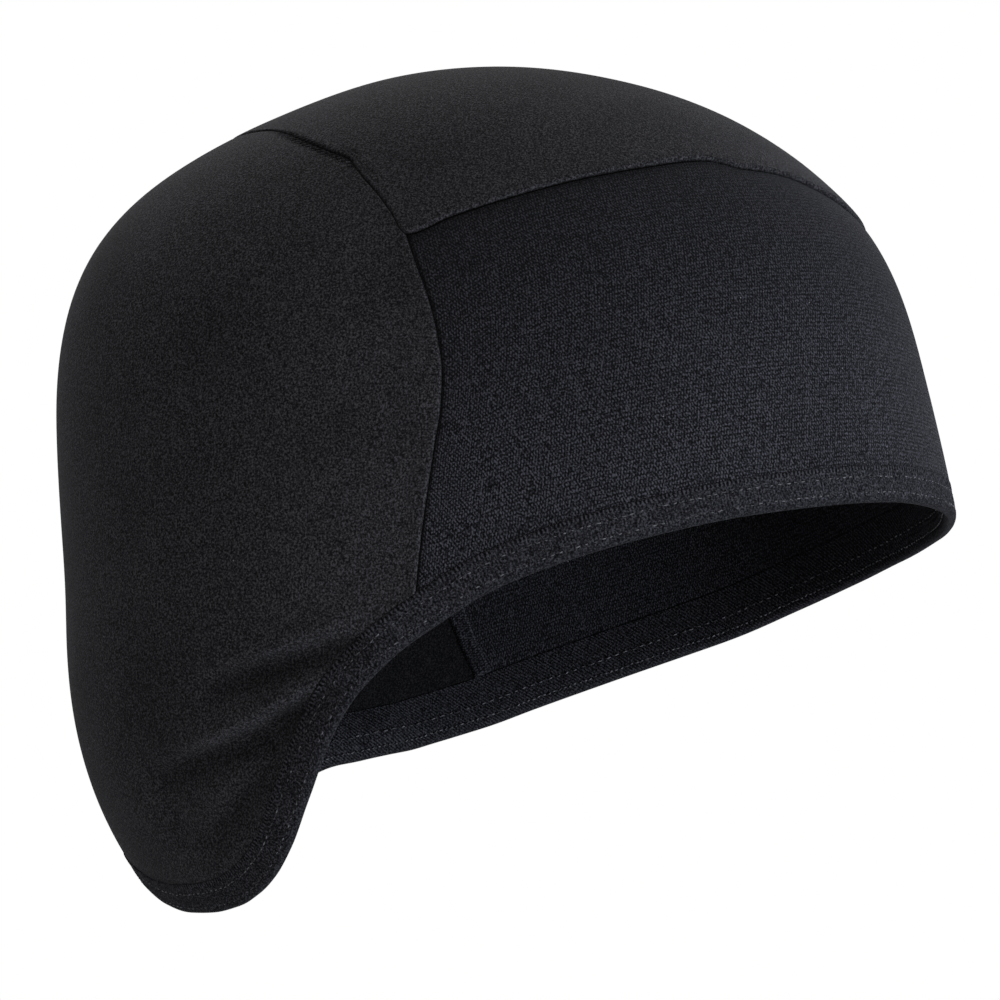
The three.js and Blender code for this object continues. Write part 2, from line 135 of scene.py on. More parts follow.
ROOM_LIGHT = 0.9  # how much of the white room's light reaches the cloth
white_room = bpy.data.worlds.new("white_room")
white_room.use_nodes = True
room_nodes = white_room.node_tree.nodes
room_light = room_nodes["Background"]
room_light.inputs["Color"].default_value = (1.0, 1.0, 1.0, 1.0)
seen_by = room_nodes.new("ShaderNodeLightPath")
room_strength = room_nodes.new("ShaderNodeMapRange")
room_strength.inputs["To Min"].default_value = ROOM_LIGHT
room_strength.inputs["To Max"].default_value = 1.0
white_room.node_tree.links.new(seen_by.outputs["Is Camera Ray"], room_strength.inputs["Value"])
white_room.node_tree.links.new(room_strength.outputs["Result"], room_light.inputs["Strength"])
bpy.context.scene.world = white_room
bpy.context.scene.view_settings.view_transform = "Standard"


def mesh_of(shape, name):
    """Turns a finished bmesh into a mesh."""
    mesh = bpy.data.meshes.new(name)
    shape.to_mesh(mesh)
    shape.free()
    return mesh


FLOOR_LEVEL = -1.1
shape = bmesh.new()
bmesh.ops.create_grid(shape, x_segments=1, y_segments=1, size=12.0)
bmesh.ops.translate(shape, verts=shape.verts, vec=(0.0, 0.0, FLOOR_LEVEL))
studio_floor = in_scene("studio_floor", mesh_of(shape, "studio_floor"))
pale_floor = bpy.data.materials.new("pale_floor")
pale_floor.use_nodes = True
floor_shader = pale_floor.node_tree.nodes["Principled BSDF"]
floor_shader.inputs["Base Color"].default_value = (0.8, 0.8, 0.8, 1.0)
floor_shader.inputs["Roughness"].default_value = 0.7
studio_floor.data.materials.append(pale_floor)
print("floor at", FLOOR_LEVEL, "m")

# %% [markdown]
# ## The head form
#
# A cap that is worn takes the shape of the head, so the cloth is laid over a form. Each point of the form
# is found from a direction out of the middle of the head: the side profile says how far it is over the
# crown, brow and nape, and a superellipse rounds it off towards the ears. Work is in millimetres here, and
# whole arrays of directions are turned into points at once, which is fast enough for very fine cloth.

# %% Reading a table as a smooth curve
def curve_through(rows, column=1):
    """Smooth curve through the rows of a table, which doesn't overshoot between them."""
    x = np.array([row[0] for row in rows], float)
    y = np.array([row[column] for row in rows], float)
    width = np.diff(x)
    step = np.diff(y) / width
    slope = np.zeros_like(x)
    same_way = step[:-1] * step[1:] > 0
    both = np.where(same_way, step[:-1] + step[1:], 1.0)
    slope[1:-1] = np.where(same_way, 2 * step[:-1] * step[1:] / both, 0.0)

    def read(at):
        at = np.clip(at, x[0], x[-1])
        i = np.clip(np.searchsorted(x, at, side="left") - 1, 0, len(x) - 2)
        t = (at - x[i]) / width[i]
        s = 1 - t
        return s * s * ((1 + 2 * t) * y[i] + t * width[i] * slope[i]) + t * t * (
            (1 + 2 * s) * y[i + 1] - s * width[i] * slope[i + 1]
        )

    return read


# %% Side profile and cross sections
HALF_LENGTH = 98.0
HALF_WIDTH = 77.0
FLAP_DROP = 92.0
ROUNDNESS = 2.3
WIDER_BACK = 0.03
WIDER_LOW = 0.02
CLOTH = 1.4

# Pull of the side profile, every 15 degrees from 120 degrees in front of the crown, as shares of the half
# length.
PROFILE_START = -120.0
PROFILE_STEP = 15
PROFILE = np.array([
    1.187, 1.058, 0.985, 0.964, 1.007, 1.002, 0.98, 0.957, 0.954, 0.961, 0.969, 1.02,
    1.069, 1.009, 0.958, 0.969, 1.065, 1.142, 1.197, 1.301, 1.399, 1.463, 1.43, 1.315,
])


def unit(vectors):
    return vectors / np.linalg.norm(vectors, axis=-1, keepdims=True)


def profile_radius(tilt):
    """Distance from the middle of the head to the side profile, at degrees back from the crown."""
    turn = ((tilt - PROFILE_START) % 360) / PROFILE_STEP
    i = np.floor(turn).astype(int)
    t = turn - i
    s = 1 - t
    weights = (s**3, 3 * t**3 - 6 * t**2 + 4, 3 * s**3 - 6 * s**2 + 4, t**3)
    return sum(w * PROFILE[(i + k - 1) % len(PROFILE)] for k, w in enumerate(weights)) / 6 * HALF_LENGTH


def smooth_form(directions):
    """Points of the outside of the cloth, without folds."""
    d = unit(directions)
    tilt = np.degrees(np.arctan2(d[..., 1], d[..., 2]))
    half_width = HALF_WIDTH * (1 + WIDER_BACK * d[..., 1] - WIDER_LOW * d[..., 2])
    side = (np.abs(d[..., 0]) / half_width) ** ROUNDNESS
    long = (np.hypot(d[..., 1], d[..., 2]) / profile_radius(tilt)) ** ROUNDNESS
    return d * ((side + long) ** (-1 / ROUNDNESS))[..., None]


CROWN_RISE = smooth_form(np.array([0.0, 0.0, 1.0]))[2]
print("crown above the widest level, mm:", round(float(CROWN_RISE), 2))


# %% Directions on the form
def direction_of(around, lift):
    """Unit vector from degrees around (0 brow, + to the wearer's left) and degrees up."""
    a, e = np.radians(around), np.radians(lift)
    return np.stack([np.sin(a) * np.cos(e), -np.cos(a) * np.cos(e), np.sin(e)], -1)


def direction_at(around, height):
    """Direction in which the form has a height, found by halving."""
    around, height = np.broadcast_arrays(np.asarray(around, float), np.asarray(height, float))
    low, high = np.full(around.shape, -78.0), np.full(around.shape, 88.0)
    for _ in range(40):
        middle = (low + high) / 2
        below = smooth_form(direction_of(around, middle))[..., 2] < height
        low, high = np.where(below, middle, low), np.where(below, high, middle)
    return direction_of(around, (low + high) / 2)


# %% [markdown]
# The flaps aren't stretched tight, so soft folds run from the ear towards the nape. Each one is a line on
# the form, and the cloth sinks or rises along it with a bell-shaped fall-off. Inside these broad folds lie
# narrower creases on the right flap, as the photograph shows them. A crease is a bent line, deepest in its
# middle, with a low crest just above it, because the cloth that sinks in one place has to bulge next to it.

# %% Folds in both flaps and creases in the right one
# depth inwards and width in mm, then (around, drop) from the ear towards the nape
FOLDS = [
    (1.3, 6.5, [(115, 0.47), (128, 0.53)]),
    (-0.9, 6.5, [(121, 0.545), (131, 0.6)]),
    (1.7, 7.0, [(123, 0.65), (142, 0.735)]),
    (-0.9, 6.0, [(128, 0.735), (139, 0.76)]),
    (1.2, 5.5, [(130, 0.78), (142, 0.82)]),
]
CREASES = [
    (2.3, 3.2, [(108.5, 0.452), (113.1, 0.474), (118.9, 0.498), (124.7, 0.517), (132.0, 0.539)]),
    (3.0, 3.5, [(113.6, 0.557), (116.7, 0.589), (120.0, 0.616), (123.4, 0.643), (128.6, 0.667),
                (134.2, 0.69), (145.0, 0.73)]),
    (1.5, 3.8, [(123.0, 0.7), (128.0, 0.757), (131.9, 0.807), (141.0, 0.87)]),
]
CREST_SHARE = 0.55  # height of a crest as a share of its crease's depth
CREST_ABOVE = 0.052  # how far above its crease the crest runs, as a share of the flap drop


def bell(distance, width):
    """1 at no distance, falling to 0 beyond the width."""
    return np.exp(-((distance / width) ** 2))


def on_form(side, line, above=0.0):
    """Points of the form for the bends of a line."""
    around, drop = np.array(line).T
    return smooth_form(direction_at(side * around, -(drop - above) * FLAP_DROP))


def to_bent_line(points, bends):
    """Distance from points to a bent line, and how far along it they lie, from 0 to 1."""
    nearest = np.full(points.shape[:-1], np.inf)
    reached = np.zeros(points.shape[:-1])
    for k, (start, end) in enumerate(zip(bends[:-1], bends[1:])):
        along = end - start
        t = np.clip((points - start) @ along / (along @ along), 0, 1)
        far = np.linalg.norm(points - (start + t[..., None] * along), axis=-1)
        closer = far < nearest
        nearest = np.where(closer, far, nearest)
        reached = np.where(closer, (k + t) / (len(bends) - 1), reached)
    return nearest, reached


fold_lines = [(depth, width, on_form(side, line)) for side in (-1, 1) for depth, width, line in FOLDS]
crease_lines = [
    (sign * depth, width, on_form(-1, line, above))
    for depth, width, line in CREASES
    for sign, above in ((1.0, 0.0), (-CREST_SHARE, CREST_ABOVE))
]


def crease_depth(points):
    """How far the creases of the right flap sink the cloth."""
    inwards = np.zeros(points.shape[:-1])
    here = (points[..., 0] < 0) & (points[..., 2] < 0)
    for depth, width, bends in crease_lines if here.any() else ():
        far, reached = to_bent_line(points[here], bends)
        fade = np.sin(np.pi * np.clip(0.12 + 0.88 * reached, 0, 1)) ** 0.6
        inwards[here] += depth * fade * bell(far, width)
    return inwards


def cloth(directions):
    """Points of the outside of the cloth, folds and creases included."""
    p = smooth_form(directions)
    inwards = crease_depth(p) + sum(
        depth * bell(to_bent_line(p, bends)[0], width) for depth, width, bends in fold_lines
    )
    return p * (1 - inwards / np.linalg.norm(p, axis=-1))[..., None]


def cloth_normal(directions):
    """Outward normals of the cloth."""
    d = unit(directions)
    helper = np.where(np.abs(d[..., 2:]) < 0.8, [0.0, 0.0, 1.0], [0.0, 1.0, 0.0])
    s = 0.01 * unit(np.cross(helper, d))
    t = 0.01 * unit(np.cross(d, s))
    return unit(np.cross(cloth(d + s) - cloth(d - s), cloth(d + t) - cloth(d - t)))


print("folds:", len(fold_lines), "creases:", len(CREASES))

# %% [markdown]
# ## Hem and seams
#
# The hem line and the seams are the same curves as in the CAD model, so every panel lands on its solid.
# The hem is walked in even steps of length, because the edge band and its stitches are spaced along it.

# %% Hem line
# around, right, left: how far the hem hangs below the widest level on each side, as shares of FLAP_DROP
HEM = [
    (0, 0.068, 0.068), (12, 0.077, 0.07), (24, 0.09, 0.09), (33, 0.11, 0.122), (43, 0.14, 0.17),
    (53, 0.174, 0.226), (62, 0.211, 0.27), (71, 0.251, 0.314), (80, 0.297, 0.359), (88, 0.347, 0.4),
    (95, 0.41, 0.438), (101, 0.468, 0.466), (106, 0.53, 0.489), (110, 0.592, 0.508), (114, 0.68, 0.522),
    (118, 0.776, 0.535), (123, 0.873, 0.554), (128, 0.934, 0.592), (133, 0.969, 0.665), (139, 0.992, 0.79),
    (146, 1.0, 0.885), (154, 0.995, 0.925), (163, 0.968, 0.925), (172, 0.92, 0.905), (180, 0.893, 0.893),
]
HEM_SAMPLES = 1440
hem_right, hem_left = curve_through(HEM, 1), curve_through(HEM, 2)
walk_around = np.linspace(-180, 180, HEM_SAMPLES + 1)
walk_share = np.where(walk_around < 0, hem_right(-walk_around), hem_left(walk_around))
hem_walk = cloth(direction_at(walk_around, -walk_share * FLAP_DROP))
hem_reached = np.concatenate([[0], np.cumsum(np.linalg.norm(np.diff(hem_walk, axis=0), axis=1))])
HEM_LENGTH = hem_reached[-1]


def hem_point(share):
    """Point of the hem at a share of its length: nape, right side, brow, left side, nape."""
    wanted = (np.asarray(share, float) % 1) * HEM_LENGTH
    return np.stack([np.interp(wanted, hem_reached, hem_walk[:, k]) for k in range(3)], -1)


def above_hem(share, height):
    """Point at a height above the hem, square to it along the cloth."""
    p = hem_point(share)
    along = unit(hem_point(np.asarray(share) + 0.004) - hem_point(np.asarray(share) - 0.004))
    up = unit(np.cross(cloth_normal(p), along))
    return p + up * np.asarray(height, float)[..., None]


print("hem length, mm:", round(float(HEM_LENGTH), 1))

# %% Seam lines
JUNCTION = 101.4
CROWN_CORNER = 140.0
# way, rise: share of the way from the middle of the brow to the junction, share of the crown's height
CROWN_FRONT_SEAM = [
    (0, 0.604), (0.1183, 0.615), (0.2367, 0.643), (0.3116, 0.659), (0.3452, 0.6605), (0.4043, 0.657),
    (0.4586, 0.6665), (0.503, 0.659), (0.5621, 0.641), (0.7002, 0.596), (0.8185, 0.549), (0.927, 0.498),
    (1, 0.457),
]
# way, rise: share of the way from the junction to the middle of the back, share of the crown's height
CROWN_SIDE_SEAM = [
    (0, 0.457), (0.0407, 0.514), (0.0827, 0.567), (0.1145, 0.6), (0.1425, 0.63), (0.1705, 0.659),
    (0.2112, 0.678), (0.2621, 0.701), (0.3384, 0.734), (0.388, 0.755), (0.4911, 0.785), (0.6183, 0.802),
    (0.7455, 0.813), (0.8728, 0.819), (1, 0.821),
]
# rise, right, left: height above the junction as a share of the crown's height, and how far behind the
# junction the seam lies on each side, in degrees
TEMPLE_SEAM = [
    (-1.057, -1.6, -6.6), (-0.907, -2.3, -5.4), (-0.792, -3, -4), (-0.684, -3.8, -0.8), (-0.561, -5, 2.2),
    (-0.481, -5.8, 3.2), (-0.39, -6.7, 3.8), (-0.327, -6.8, 3.9), (-0.235, -5.9, 3.5), (-0.159, -4.5, 2.8),
    (-0.08, -2.3, 1.6), (0, 0, 0), (0.143, 3.6, -2.6),
]
crown_front_rise = curve_through(CROWN_FRONT_SEAM)
crown_side_rise = curve_through(CROWN_SIDE_SEAM)
temple_back = {-1: curve_through(TEMPLE_SEAM, 1), 1: curve_through(TEMPLE_SEAM, 2)}


def crown_seam(around):
    turned = np.abs(around)
    rise = np.where(
        turned < JUNCTION,
        crown_front_rise(turned / JUNCTION),
        crown_side_rise((turned - JUNCTION) / (180 - JUNCTION)),
    )
    return direction_at(around, rise * CROWN_RISE)


junction_height = smooth_form(crown_seam(np.array(JUNCTION)))[2]


def temple_around(side, height):
    return JUNCTION + temple_back[side]((height - junction_height) / CROWN_RISE)


def temple_seam(side, height):
    return direction_at(side * temple_around(side, height), height)


BAND_FACE = 7.5  # outer face of the edge band, hem fold to top edge
PANEL_FOOT = BAND_FACE + 0.01  # the panels start here, above the hem
LEG = 12.0  # height of the band's turned-in leg


def band_crossing(side):
    """Share of the hem where the band's top edge meets a temple seam."""
    low, high = (0.12, 0.5) if side < 0 else (0.5, 0.88)
    for _ in range(40):
        middle = (low + high) / 2
        p = smooth_form(above_hem(middle, PANEL_FOOT))
        behind = abs(math.degrees(math.atan2(p[0], -p[1]))) > temple_around(side, p[2])
        if behind == (side < 0):
            low = middle
        else:
            high = middle
    return (low + high) / 2


CROSSING = {-1: band_crossing(-1), 1: band_crossing(1)}
print("temple seams meet the band at", {k: round(v, 4) for k, v in CROSSING.items()})

# %% [markdown]
# ## Laying a panel
#
# A sewn panel lies between four seams. A grid is stretched between them by blending its four edges, and
# each point is set on the form. The grid is finer near the edges, where the cloth rolls down into the
# seam, and coarser in the middle. Its own arc lengths give the UV map, so a knit pattern keeps its real
# pitch and follows the cloth.

# %% Grid spacing and blending
FINE_STEP = 0.16  # at the edges
EDGE_REACH = 5.0  # over which the steps grow
EDGE_INSET = 0.05  # half of the slit between two panels


def graded(length, count, coarse=1.0, busy=None):
    """Shares of a length, with small steps near both ends and, if asked, in a busy stretch.

    The first and the last keep a panel's border a hair inside its seam lines.
    """
    x = np.linspace(0, length, 4001)
    edge = np.minimum(x, length - x)
    density = 1 / (FINE_STEP + (coarse - FINE_STEP) * (1 - np.exp(-edge / EDGE_REACH)))
    if busy is not None:
        density = density + busy(x / length)
    total = np.concatenate([[0], np.cumsum((density[1:] + density[:-1]) / 2)])
    shares = np.interp(np.linspace(0, total[-1], count + 1), total, x) / length
    slit = EDGE_INSET / length
    return slit + shares * (1 - 2 * slit)


def blend_edges(edges, u, v):
    """Directions of a grid between four edges, each a function of a share from 0 to 1."""
    bottom, top, start, end = (unit(edge(t)) for edge, t in zip(edges, (u, u, v, v)))
    corner = [[unit(edges[j](np.array([t])))[0] for t in (0.0, 1.0)] for j in (0, 1)]
    a, b = u[None, :, None], v[:, None, None]
    grid = bottom[None] * (1 - b) + top[None] * b + start[:, None] * (1 - a) + end[:, None] * a
    grid -= (1 - b) * ((1 - a) * corner[0][0] + a * corner[0][1])
    grid -= b * ((1 - a) * corner[1][0] + a * corner[1][1])
    return unit(grid)


def run_lengths(points, axis):
    """Distance walked along each row or column of a grid."""
    steps = np.linalg.norm(np.diff(points, axis=axis), axis=-1)
    first = np.zeros_like(np.take(steps, [0], axis=axis))
    return np.concatenate([first, np.cumsum(steps, axis=axis)], axis=axis)


# %% [markdown]
# The panel's mesh starts as a flat grid from bmesh. The grid is extruded, which adds the inner skin and
# the walls round the border in one step and keeps them joined. Three number layers remember the row, the
# column and the skin of every vertex, so that both skins can then be moved to their places.

# %% A closed panel from a grid
def set_points(mesh, points):
    """Moves the vertices of a mesh, in millimetres from the middle of the head."""
    placed = (points + [0.0, 0.0, CLOTH - CROWN_RISE]) * 0.001
    mesh.vertices.foreach_set("co", placed.astype(np.float32).ravel())
    mesh.update()


def numbers_of(mesh, *names):
    """Reads whole-number layers of the vertices, and takes them off the mesh."""
    values = np.zeros((len(names), len(mesh.vertices)), np.int32)
    for name, row in zip(names, values):
        layer = mesh.attributes[name]
        layer.data.foreach_get("value", row)
        mesh.attributes.remove(layer)
    return values


def add_piece(name, mesh, node=None):
    """Links a finished mesh as a piece of the cap."""
    mesh.shade_smooth()
    piece = in_scene(name, mesh)
    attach(piece, cap_body)
    if node:
        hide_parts(node)
    return piece


def face_outwards(mesh, merged=False):
    """Turns the faces of a closed mesh outwards, and merges doubled vertices first if asked."""
    shape = bmesh.new()
    shape.from_mesh(mesh)
    if merged:
        bmesh.ops.remove_doubles(shape, verts=shape.verts, dist=1e-6)
    bmesh.ops.recalc_face_normals(shape, faces=shape.faces)
    shape.to_mesh(mesh)
    shape.free()


def numbered_grid(columns, rows):
    """A flat grid whose vertices keep their column and row as layers."""
    shape = bmesh.new()
    bmesh.ops.create_grid(shape, x_segments=columns, y_segments=rows, size=0.5)
    column = shape.verts.layers.int.new("column")
    row = shape.verts.layers.int.new("row")
    for vertex in shape.verts:
        vertex[column] = round((vertex.co.x + 0.5) * columns)
        vertex[row] = round((vertex.co.y + 0.5) * rows)
    return shape


def slab(columns, rows, name):
    """A flat closed slab, one numbered grid on each side. The inner side is kept as a layer too."""
    shape = numbered_grid(columns, rows)
    within = shape.verts.layers.int.new("within")
    grown = bmesh.ops.extrude_face_region(shape, geom=shape.faces[:], use_keep_orig=True)
    for item in grown["geom"]:
        if isinstance(item, bmesh.types.BMVert):
            item[within] = 1
    return mesh_of(shape, name)


def uv_from_grid(mesh, vertex_uv):
    """Writes a UV map, in metres along the cloth, from one pair of numbers per vertex."""
    corner = np.zeros(len(mesh.loops), np.int32)
    mesh.loops.foreach_get("vertex_index", corner)
    layer = mesh.uv_layers.new(name="cloth_run")
    layer.data.foreach_set("uv", (vertex_uv[corner] * 0.001).astype(np.float32).ravel())


def mark_painted_shade(mesh, shares):
    """Notes for the finishes how much painted shade each vertex gets, from 0 to 1."""
    layer = mesh.attributes.new("sunk", "FLOAT", "POINT")
    layer.data.foreach_set("value", shares.astype(np.float32))


# painted shade on the inner faces, which lie inside the hollow of the cap
PAINTED_SHADE_INSIDE_JERSEY = 0.85  # painted shade on the jersey's inner face
PAINTED_SHADE_INSIDE_MESH = 0.4


def sew_panel(name, node, edges, u, v, relief, inside):
    """Builds one panel. relief gives how far its outside stands above the form, from its measures."""
    directions = blend_edges(edges, u, v)
    skin, normal = cloth(directions), cloth_normal(directions)
    across, upward = run_lengths(skin, 1), run_lengths(skin, 0)
    measures = {
        "around": np.degrees(np.arctan2(skin[..., 0], -skin[..., 1])),
        "skin": skin,
        "start": across,
        "end": across[:, -1:] - across,
        "foot": upward,
        "top": upward[-1:] - upward,
    }
    raised = relief(measures)
    outer = skin + normal * raised[..., None]
    inner = skin - normal * CLOTH
    mesh = slab(len(u) - 1, len(v) - 1, name)
    i, j, within = numbers_of(mesh, "column", "row", "within")
    set_points(mesh, np.where(within[:, None] == 1, inner[j, i], outer[j, i]))
    middle = np.argmin(np.abs(u - 0.5))
    run = np.stack([across - across[:, middle : middle + 1], upward], -1)
    uv_from_grid(mesh, run[j, i])
    # painted shade: seam grooves, gathers and creases are marked darker outside, the whole inner face inside
    sunk = np.clip(-raised / 0.5, 0, 1) + 0.9 * np.clip(crease_depth(skin) / 2.6, 0, 1)
    mark_painted_shade(mesh, np.where(within == 1, inside, np.clip(sunk, 0, 1)[j, i]))
    face_outwards(mesh)
    print(name, "faces:", len(mesh.polygons), "widest and highest, mm:",
          round(float(across[:, -1].max()), 1), round(float(upward[-1].max()), 1))
    return add_piece(name, mesh, node)


# %% [markdown]
# ## How cloth meets a seam
#
# Two panels are laid face to face, sewn, and turned back. From outside one sees both rims roll down into a
# narrow dark groove, which the finishes darken further with painted shade. Each rim is a quarter round about
# a millimetre in radius. Where the crown panel meets the front panel the crown's rim stands a little proud,
# because the seam allowance lies under it.

# %% Seam reliefs
def rolled(distance, radius, depth=0.85):
    """How far a rim sinks at a distance from its seam: a rounded edge."""
    inside_rim = np.clip(1 - distance / radius, 0, 1)
    return -depth * (1 - np.sqrt(np.clip(1 - inside_rim**2, 0, 1)))


def between(value, start, end, soft_start, soft_end):
    """1 between two values, falling softly to 0 outside them."""
    return 1 / (1 + np.exp(-(value - start) / soft_start)) / (1 + np.exp((value - end) / soft_end))


def soft_swell(skin, size, seed):
    """Slow, shallow waves of cloth that isn't perfectly tight, as a share from about -1 to 1."""
    flat = skin.reshape(-1, 3)
    shift = Vector((seed * 7.31, seed * 3.17, seed * 5.73))
    values = [noise.noise(Vector(point) / size + shift) for point in flat]
    return np.array(values).reshape(skin.shape[:-1]) * 1.6


LIP_RISE = 0.45
LIP_REACH = 7.0

# %% [markdown]
# ## Crown panel
#
# The crown panel is smooth brushed jersey. It is a rounded piece: its front edge follows the cross seam
# over the forehead, and its sides run back between the two side panels.

# %% Crown panel
crown_edges = (
    lambda t: crown_seam(-JUNCTION + 2 * JUNCTION * t),
    lambda t: crown_seam(((-CROWN_CORNER - (360 - 2 * CROWN_CORNER) * t) + 180) % 360 - 180),
    lambda t: crown_seam(-JUNCTION - (CROWN_CORNER - JUNCTION) * t),
    lambda t: crown_seam(JUNCTION + (CROWN_CORNER - JUNCTION) * t),
)
GATHERS = (113.0, 136.0)  # where the side panel's extra cloth is eased into the crown seam, in degrees
GATHER_APART = 1.4
SEWN_DOWN = (108.5, 117.0)  # where two stitched lines show beside the seam, in degrees
SEWN_LINES = (1.3, 2.2)  # their distances from the seam


def gathered(around):
    return between(np.abs(around), *GATHERS, 0.5, 1.5)


def furrow(phase, width):
    """A narrow valley once per whole number of phase."""
    return bell((phase + 0.5) % 1 - 0.5, width)


def crown_relief(m):
    side_rim = np.minimum(m["start"], m["end"])
    lift = LIP_RISE * bell(m["foot"], LIP_REACH)
    lift += rolled(m["foot"], 1.0, 1.1)
    for edge in ("top", "start", "end"):
        lift += rolled(m[edge], 1.0)
    phase = (m["foot"] + 0.6 * side_rim) / GATHER_APART
    lift -= 0.35 * furrow(phase, 0.22) * gathered(m["around"]) * bell(side_rim, 0.9)
    sewn_down = between(np.abs(m["around"]), *SEWN_DOWN, 0.6, 0.6)
    for far in SEWN_LINES:
        lift -= 0.28 * sewn_down * bell(side_rim - far, 0.22)
    return lift + 0.12 * soft_swell(m["skin"], 26.0, 1)


crown_cloth = sew_panel(
    "crown_cloth", "crown_panel",
    crown_edges, graded(190.0, 230), graded(110.0, 185), crown_relief, PAINTED_SHADE_INSIDE_JERSEY,
)

# %% [markdown]
# ## Front panel
#
# The front panel is thinner and more open: a fine mesh knit that lets the forehead breathe. It lies flat
# and tight, so it has hardly any folds.

# %% Front panel
def temple_edge(side):
    foot = smooth_form(above_hem(CROSSING[side], PANEL_FOOT))[2]
    return lambda t: temple_seam(side, foot + (junction_height - foot) * t)


front_edges = (
    lambda t: above_hem(CROSSING[-1] + (CROSSING[1] - CROSSING[-1]) * t, PANEL_FOOT),
    crown_edges[0],
    temple_edge(-1),
    temple_edge(1),
)


def front_relief(m):
    lift = rolled(m["top"], 0.8, 1.0) - 0.25 * bell(m["top"], 2.2)
    for edge in ("start", "end"):
        lift += rolled(m[edge], 0.9)
    lift += rolled(m["foot"], 0.3, 0.12)
    return lift + 0.08 * soft_swell(m["skin"], 30.0, 2)


front_cloth = sew_panel(
    "front_cloth", "front_panel",
    front_edges, graded(250.0, 270), graded(75.0, 160), front_relief, PAINTED_SHADE_INSIDE_MESH,
)

# %% [markdown]
# ## Side panels
#
# Each side panel covers the ear and runs down into a flap over the nape. It is eased into the seam with
# the crown: more cloth goes in than the seam is long, so little slanting gathers show below the seam at
# the back corner. The two panels meet in a seam down the middle of the back.

# %% Side panels
CROWN_SHARE = 0.4  # share of the top edge that meets the crown panel's side


def side_edges(side):
    nape = 0.0 if side < 0 else 1.0

    def foot(t):
        return above_hem(CROSSING[side] + (nape - CROSSING[side]) * t, PANEL_FOOT)

    def top(t):
        near = JUNCTION + (CROWN_CORNER - JUNCTION) * t / CROWN_SHARE
        far = CROWN_CORNER + (180 - CROWN_CORNER) * (t - CROWN_SHARE) / (1 - CROWN_SHARE)
        return crown_seam(side * np.where(t < CROWN_SHARE, near, far))

    nape_foot = smooth_form(foot(np.array([1.0]))[0])[2]
    nape_top = smooth_form(top(np.array([1.0]))[0])[2]

    def back(t):
        return direction_at(180.0, nape_foot + (nape_top - nape_foot) * t)

    return foot, top, temple_edge(side), back


def side_relief(side):
    def relief(m):
        lift = rolled(m["start"], 0.9) + 0.2 * bell(m["start"], 3.0)
        lift += rolled(m["top"], 0.9) + rolled(m["end"], 0.9) + rolled(m["foot"], 0.3, 0.12)
        walked = run_lengths(m["skin"][-1:], 1)  # length along the seam with the crown
        phase = (walked - 1.3 * m["top"]) / GATHER_APART
        fade = np.exp(-((m["top"] / 2.0) ** 4))
        lift -= 0.7 * furrow(phase, 0.2) * gathered(m["around"]) * fade
        return lift + 0.14 * soft_swell(m["skin"], 24.0, 3 + side)

    return relief


def where_gathered(t):
    return 2.2 * between(t, 0.1, 0.36, 0.02, 0.02)


side_u = graded(165.0, 300, coarse=1.1, busy=where_gathered)
side_v = graded(125.0, 150, coarse=1.4)
side_cloths = {
    side: sew_panel(
        "side_cloth_" + word, "side_panel_" + word,
        side_edges(side), side_u, side_v, side_relief(side), PAINTED_SHADE_INSIDE_JERSEY,
    )
    for side, word in ((-1, "right"), (1, "left"))
}

# %% [markdown]
# ## Seam allowances
#
# Inside a sewn cap the cut edges are turned to one side and lie flat as a narrow double layer of cloth. At
# the temple they are turned towards the front panel, and over the head towards the crown. They hide the
# slit between two panels and give the inner side its raised, ropy seams. Each one is a thin slab that
# follows a seam line, with rounded long edges.

# %% Seam allowances
ALLOWANCE_WIDE = 3.6
ALLOWANCE_THICK = 0.5
ALLOWANCE_OVERLAP = 0.45  # how far it reaches over the seam line
ALLOWANCE_DEPTH = CLOTH + 0.02  # its top lies on the inside of the panels
ALLOWANCE_ROWS = 8
ALLOWANCE_STOP = 1.2  # how far below the crown seam the upright ones end


def lay_allowance(name, line, length, towards, inside):
    """A strip along a seam. line gives directions from shares of the seam, towards is +1 or -1."""
    columns = round(length / 0.9)
    mesh = slab(columns, ALLOWANCE_ROWS, name)
    i, j, within = numbers_of(mesh, "column", "row", "within")
    share = np.linspace(0.0002, 0.9998, columns + 1)
    reach = 3.5 / length
    seam = cloth(line(share))
    ahead, behind = (cloth(line(np.clip(share + step, 0, 1))) for step in (reach, -reach))
    across = unit(np.cross(cloth_normal(seam), ahead - behind)) * towards
    wavy = 0.2 * soft_swell(seam, 6.0, 9)
    points = np.zeros((2, ALLOWANCE_ROWS + 1, columns + 1, 3))
    for k, t in enumerate(np.linspace(0, 1, ALLOWANCE_ROWS + 1)):
        far = -ALLOWANCE_OVERLAP + t * (ALLOWANCE_WIDE + ALLOWANCE_OVERLAP + wavy)
        base = seam + across * far[:, None]
        skin, normal = cloth(base), cloth_normal(base)
        puffed = ALLOWANCE_THICK * (0.25 + 0.75 * math.sqrt(max(0.0, 1 - (2 * t - 1) ** 6)))
        points[0, k] = skin - normal * ALLOWANCE_DEPTH
        points[1, k] = skin - normal * (ALLOWANCE_DEPTH + puffed)
    set_points(mesh, points[within, j, i])
    uv_from_grid(mesh, np.stack([i * length / columns, j * ALLOWANCE_WIDE / ALLOWANCE_ROWS], -1))
    # painted shade over the whole allowance, which lies inside the cap
    mark_painted_shade(mesh, np.full(len(mesh.vertices), inside))
    face_outwards(mesh)
    print(name, "length, mm:", round(length, 1), "faces:", len(mesh.polygons))
    return add_piece(name, mesh)


def seam_length(line):
    return float(run_lengths(cloth(line(np.linspace(0, 1, 400))), 0)[-1])


def ring_line(t):
    return crown_seam(-180 + 360 * t)


